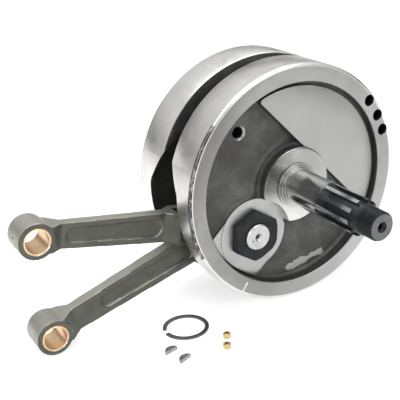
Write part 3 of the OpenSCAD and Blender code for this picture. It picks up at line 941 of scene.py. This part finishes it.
def thread_groove(name, radius, start, end, pitch, side):
    """A helical groove cutter with a V section, its ends closed."""
    half = pitch * THREAD_HALF
    section = [(radius + 0.3, start - half), (radius + 0.3, start + half)]
    section.append((radius - pitch * THREAD_DEPTH, start))
    piece = chain(name, [Vector((r * MM, MID - side * h * MM, 0)) for r, h in section])
    bpy.ops.mesh.edge_face_add()
    bpy.ops.object.mode_set(mode="OBJECT")
    pick(piece)
    bpy.ops.object.transform_apply(location=True)
    turns = int((end - start) / pitch)
    rise, steps = -side * pitch * turns * MM, 48 * turns
    apply(
        piece, "SCREW", axis="Y", angle=2 * math.pi * turns, screw_offset=rise,
        steps=steps, render_steps=steps,
    )
    bpy.ops.object.mode_set(mode="EDIT")
    bpy.ops.mesh.select_all(action="SELECT")
    bpy.ops.mesh.remove_doubles(threshold=1e-7)
    bpy.ops.mesh.select_all(action="DESELECT")
    bpy.ops.mesh.select_non_manifold()
    bpy.ops.mesh.fill()
    return settle(piece)


def spline_cutter(name, root, half, start, end, cutter_r):
    """A groove between two splines with the cutter's round run-out, along the +X side."""
    reach = 8
    run_out = arc(root + cutter_r, start, cutter_r, 180, 222, 12)
    outline = [(root + reach, end), (root, end), *run_out, (root + reach, run_out[-1][1])]
    points = [(x, MID / MM - h, -half) for x, h in outline]
    return prism(name, points, (0, 0, 2 * half))


def shaft(name, side, after_collar):
    """A stepped shaft: plain inner end, taper, collar rings, then the given section to its end."""
    collar = [(0, 15), (9.8, 15), (11, 16.2), (11, WEB_IN), (14.2, WEB_IN), (14.2, SEAT_FLOOR)]
    collar += [(BORE_R, SEAT_FLOOR), (SEAT_R, HUB_FACE), (20, HUB_FACE), (20.2, 45.6), (20.2, 46.8)]
    collar += [(19.8, 47.2), (18.7, 47.2), (18.5, 47.5), (18.5, 49.0), (18.1, 49.4), (17.3, 49.4)]
    collar += [(17.1, 49.7), (17.1, 50.6), (16.9, 51.1), (16.3, 51.4), (15.6, 51.4), (15.6, 52.4)]
    collar.append((BEARING_R, 52.8))
    return turned(name, collar + after_collar, 96, side=side)


class CRANKSHAFT_OT_shafts(bpy.types.Operator):
    """Model the splined drive shaft and the keyed pinion shaft"""

    bl_idname = "crankshaft.shafts"
    bl_label = "Shafts"

    def execute(self, context):
        shape = context.scene.crankshaft_shape
        piece = self.drive_shaft(shape.thread_pitch / MM, shape.spline_edge)
        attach(piece, "crank")
        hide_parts("drive_shaft")
        piece = self.pinion_shaft(shape.thread_pitch / MM)
        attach(piece, "crank")
        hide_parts("pinion_shaft")
        return {"FINISHED"}

    def drive_shaft(self, pitch, edge):
        section = [(BEARING_R, SPLINE_START - 0.02), (SPLINE_R, SPLINE_START)]
        section += [(SPLINE_R, SPLINE_END), (14.6, 135.9), (14.2, 136), (DRIVE_THREAD_R, 139.6)]
        section += [(DRIVE_THREAD_R, 156.3), (10.8, 157.9), (10.4, DRIVE_END)]
        section += [(4.6, DRIVE_END), (2.2, 155.8), (2.2, 149), (0, 148)]
        piece = shaft("drive_shaft_splined", 1, section)
        half = math.pi * BEARING_R / SPLINES * GROOVE_SHARE
        groove = spline_cutter("groove", SPLINE_ROOT, half, 105, 140, CUTTER_R)
        corner = math.radians(60)
        apply(groove, "BEVEL", width=edge, segments=2, limit_method="ANGLE", angle_limit=corner)
        for i in range(SPLINES):
            one = copy_of(groove, "groove_copy")
            one.matrix_world = Matrix.Rotation(-2 * math.pi / SPLINES * (i + 0.5), 4, "Y")
            settle(one)
            combine(piece, one, "DIFFERENCE")
        bpy.data.objects.remove(groove)
        thread = thread_groove("thread", DRIVE_THREAD_R, 141.5, 158.5, pitch, 1)
        combine(piece, thread, "DIFFERENCE")

        def finish_of(c, n):
            r, h = math.hypot(c.x, c.z) / MM, (MID - c.y) / MM
            # Painted shade: the spline run-outs and the step at the journal's end are painted
            # near-black, which also hides the step's reflection
            run_out = 91.5 < h < 106 and n.y < -0.15
            if h > DRIVE_END - 0.4:
                return "dark_end"
            if h > SPLINE_END - 0.1 or (h > 92 and r < 13.3) or run_out:
                return "black_finish_and_shade"
            if h > SPLINE_START:
                return "spline_land" if r > 15.3 else "black_finish_and_shade"
            return "ground_steel" if h > 52 else "turned_steel"

        return self.finished(piece, finish_of)

    def pinion_shaft(self, pitch):
        section = [(BEARING_R, 75.4), (15.3, 76), (12.9, 76), (GEAR_SEAT_R, 76.4)]
        section += [(GEAR_SEAT_R, 103.2), (11.9, GEAR_SEAT_END), (9.8, GEAR_SEAT_END)]
        section += [(PINION_THREAD_R, 104.5), (PINION_THREAD_R, 120.6), (8.3, 121.9)]
        section += [(7.9, PINION_END), (5.4, PINION_END), (2.6, 119.2), (2.6, 62), (0, 60)]
        piece = shaft("pinion_shaft_keyed", -1, section)
        thread = thread_groove("thread", PINION_THREAD_R, 105.5, 122.5, pitch, -1)
        combine(piece, thread, "DIFFERENCE")
        half = KEY_WAY_HALF
        section = [(0, -half), (8.5, -half), (8.5, half), (0, half)]
        key_way = turned("key_way", section, 48, middle=0)
        upright = Matrix.Rotation(math.pi / 2, 4, "X")
        key_way.matrix_world = Matrix.Translation((14.1 * MM, MID + 90 * MM, 0)) @ upright
        settle(key_way)
        combine(piece, key_way, "DIFFERENCE")

        def finish_of(c, n):
            r, h = math.hypot(c.x, c.z) / MM, (c.y - MID) / MM
            if h > GEAR_SEAT_END + 0.4:
                return "dark_end" if h > PINION_END - 0.5 else "black_finish_and_shade"
            return "ground_steel" if h > 52 and r > GEAR_SEAT_R - 0.1 else "turned_steel"

        return self.finished(piece, finish_of)

    def finished(self, piece, finish_of):
        """Paints a shaft and shades it smooth."""
        names = ["ground_steel", "turned_steel", "spline_land", "black_finish_and_shade", "dark_end"]
        return smooth(paint(piece, names, finish_of), 30)


# Rod sizes in mm: along the rod from the crankpin, and half widths across the crank
ROD_L = 188.9
EYE_R = 31
BIG_BORE_R = 25
SMALL_R = 15.6
SMALL_HALF = 13.9
WRIST_BORE_R = 11.15
WRIST_LIP = 0.4
SHANK_HALF = 5.9
POCKET_START = 2.8 + 5.9  # the web's half thickness and the pocket's depth with its run-on
BLADE_HALF = 8.45
FORK_IN = 8.75
FORK_OUT = 18.25
LEG_IN = 6.4
LEG_OUT = 13.9
CROTCH = 62
CLEARANCE_R = 33.5
OIL_HOLE_R = 1.2


def capsule(x0, x1, r0, r1):
    """Rounded pocket outline along +X."""
    return arc(x0 + r0, 0, r0, 90, 270, 14) + arc(x1 - r1, 0, r1, -90, 90, 14)


def barrel(radius, start, end, edge):
    """Section of a solid round boss with rounded edges."""
    low = arc(radius - edge, start + edge, edge, -90, 0, 3)
    high = arc(radius - edge, end - edge, edge, 0, 90, 3)
    return [(0, start), *low, *high, (0, end)]


def shank_outline(flare):
    """The tapered shank from above, from inside the big end to inside the small end."""
    return [
        (flare, -19), (44, -14.2), (ROD_L - 10, -10.6),
        (ROD_L - 10, 10.6), (44, 14.2), (flare, 19),
    ]


def small_end(piece):
    """The wrist pin's barrel and the shoulders that blend it into the shank."""
    section = barrel(SMALL_R, -SMALL_HALF, SMALL_HALF, 1)
    combine(piece, turned("barrel", section, 72, (ROD_L * MM, 0), middle=0), "UNION")
    top = SMALL_HALF - 1
    outline = [(ROD_L - 4, -top), (ROD_L - 14, -top), (ROD_L - 23, -SHANK_HALF)]
    outline += [(x, -h) for x, h in reversed(outline)]
    combine(piece, prism("shoulder", [(x, h, -11.2) for x, h in outline], (0, 0, 22.4)), "UNION")
    return piece


def pockets(piece, x0, x1):
    """Both pockets of the I section, with draft on their walls."""
    outline = capsule(x0, x1, 8.6, 6.4)
    draft = [(0, -2.8), (0.5, -2.0), (0.4, -0.7), (0.6, -0.4)]
    for side in (1, -1):
        tool = raised("pocket", outline, POCKET_START, draft, side, middle=0)
        combine(piece, tool, "DIFFERENCE")
    return piece


def forge(piece, skin):
    """Softens a rough solid as a drop forging: even skin, rounded edges and blended corners."""
    apply(piece, "REMESH", mode="VOXEL", voxel_size=skin)
    apply(piece, "SMOOTH", factor=0.5, iterations=5)
    apply(piece, "DECIMATE", decimate_type="COLLAPSE", ratio=0.5)
    return piece


def machined(piece, cuts):
    """Cuts bores and slots, each a section and its place along the rod."""
    for section, x in cuts:
        combine(piece, turned("cutter", section, 96, (x * MM, 0), middle=0), "DIFFERENCE")
    return piece


def through(radius, half, lip=0.6):
    """Section of a bore through a width, with a broken edge at each face."""
    return [
        (0, -half - 2), (radius + lip + 2, -half - 2), (radius, -half + lip), (radius, half - lip),
        (radius + lip + 2, half + 2), (0, half + 2),
    ]


WRIST_BORE = (through(WRIST_BORE_R, SMALL_HALF, WRIST_LIP), ROD_L)


class CRANKSHAFT_OT_rods(bpy.types.Operator):
    """Model the forked rod and the blade rod as forgings with machined bores"""

    bl_idname = "crankshaft.rods"
    bl_label = "Rods"

    def execute(self, context):
        skin = context.scene.crankshaft_shape.forging_skin
        for name, node, body, piece in (
            ("forked_rod_forging", "forked_rod", "forked", self.forked(skin)),
            ("blade_rod_forging", "blade_rod", "blade", self.blade(skin)),
        ):
            low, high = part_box(node + "_bush")
            middle = (low + high) / 2
            angle = math.atan2(middle.z - PIN_Z, middle.x - PIN_X)
            piece.name = name
            paint(piece, ["forged_side", "forged_edge_and_painted_light", "turned_steel"], self.finish_of)
            turn_to(piece, angle, Vector((PIN_X, MID, PIN_Z)))
            smooth(piece, 40)
            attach(piece, body)
            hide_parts(node)
        return {"FINISHED"}

    def finish_of(self, c, n):
        c = c / MM
        from_pin, from_wrist = math.hypot(c.x, c.z), math.hypot(c.x - ROD_L, c.z)
        if from_pin < BIG_BORE_R + 0.4 or from_wrist < WRIST_BORE_R + 0.35:
            return "turned_steel"
        # Outline faces take the lighter copy, partly their own tone and partly painted light from
        # above
        return "forged_edge_and_painted_light" if abs(n.y) < 0.5 else "forged_side"

    def blade(self, skin):
        piece = turned("blade", barrel(EYE_R, -BLADE_HALF, BLADE_HALF, 0.5), 96, middle=0)
        shank = raised("shank", shank_outline(12), -SHANK_HALF, [(0, 2 * SHANK_HALF)], middle=0)
        combine(piece, shank, "UNION")
        small_end(piece)
        pockets(piece, 44, ROD_L - 48)
        forge(piece, skin)
        return machined(piece, [(through(BIG_BORE_R, BLADE_HALF), 0), WRIST_BORE])

    def forked(self, skin):
        cheek = FORK_OUT - 1
        side_view = [(12, cheek), (27, cheek), (34, LEG_OUT), (60, LEG_OUT), (72, SHANK_HALF)]
        side_view += [(ROD_L - 8, SHANK_HALF)]
        side_view += [(x, -h) for x, h in reversed(side_view)]
        piece = prism("forked", [(x, h, -40) for x, h in side_view], (0, 0, 80))
        plan = raised("plan", shank_outline(11), -30, [(0, 60)], middle=0)
        combine(piece, plan, "INTERSECT")
        for side in (1, -1):
            eye = turned("eye", barrel(EYE_R, FORK_IN, FORK_OUT, 0.8), 96, side=side, middle=0)
            combine(piece, eye, "UNION")
        small_end(piece)
        crotch = ([(0, -LEG_IN), (CROTCH, -LEG_IN), (CROTCH, LEG_IN), (0, LEG_IN)], 0)
        gap = [(0, -FORK_IN), (CLEARANCE_R, -FORK_IN), (CLEARANCE_R, FORK_IN), (0, FORK_IN)]
        machined(piece, [crotch, (gap, 0)])
        pockets(piece, 73, ROD_L - 27)
        forge(piece, skin)
        machined(piece, [(gap, 0), (through(BIG_BORE_R, FORK_OUT), 0), WRIST_BORE])
        clear()
        bpy.ops.mesh.primitive_cylinder_add(
            radius=OIL_HOLE_R * MM, depth=30 * MM, vertices=24,
            location=((ROD_L + 15) * MM, 0, 0), rotation=(0, math.pi / 2, 0),
        )
        return combine(piece, settle(bpy.context.active_object), "DIFFERENCE")


class CRANKSHAFT_PT_panel(bpy.types.Panel):
    """Lists the sizes, the colours and the pieces"""

    bl_label = "Crankshaft"
    bl_idname = "CRANKSHAFT_PT_panel"
    bl_space_type = "VIEW_3D"
    bl_region_type = "UI"
    bl_category = "Crankshaft"

    def draw(self, context):
        scene = context.scene
        for group in (scene.crankshaft_shape, scene.crankshaft_finish, scene.crankshaft_stage):
            for key in group.bl_rna.properties.keys():
                if key not in ("rna_type", "name"):
                    self.layout.prop(group, key)
        for operator in OPERATORS:
            self.layout.operator(operator.bl_idname)


OPERATORS = (
    CRANKSHAFT_OT_stage,
    CRANKSHAFT_OT_finishes,
    CRANKSHAFT_OT_flywheels,
    CRANKSHAFT_OT_shafts,
    CRANKSHAFT_OT_rods,
)
CLASSES = (CrankshaftFinish, CrankshaftShape, CrankshaftStage, *OPERATORS, CRANKSHAFT_PT_panel)


def register():
    for cls in CLASSES:
        bpy.utils.register_class(cls)
    bpy.types.Scene.crankshaft_finish = bpy.props.PointerProperty(type=CrankshaftFinish)
    bpy.types.Scene.crankshaft_shape = bpy.props.PointerProperty(type=CrankshaftShape)
    bpy.types.Scene.crankshaft_stage = bpy.props.PointerProperty(type=CrankshaftStage)


def unregister():
    del bpy.types.Scene.crankshaft_stage
    del bpy.types.Scene.crankshaft_shape
    del bpy.types.Scene.crankshaft_finish
    for cls in reversed(CLASSES):
        bpy.utils.unregister_class(cls)


def main():
    """Builds everything in order."""
    register()
    for operator in OPERATORS:
        group, name = operator.bl_idname.split(".")
        getattr(getattr(bpy.ops, group), name)()
    clear()


if __name__ == "__main__":
    main()
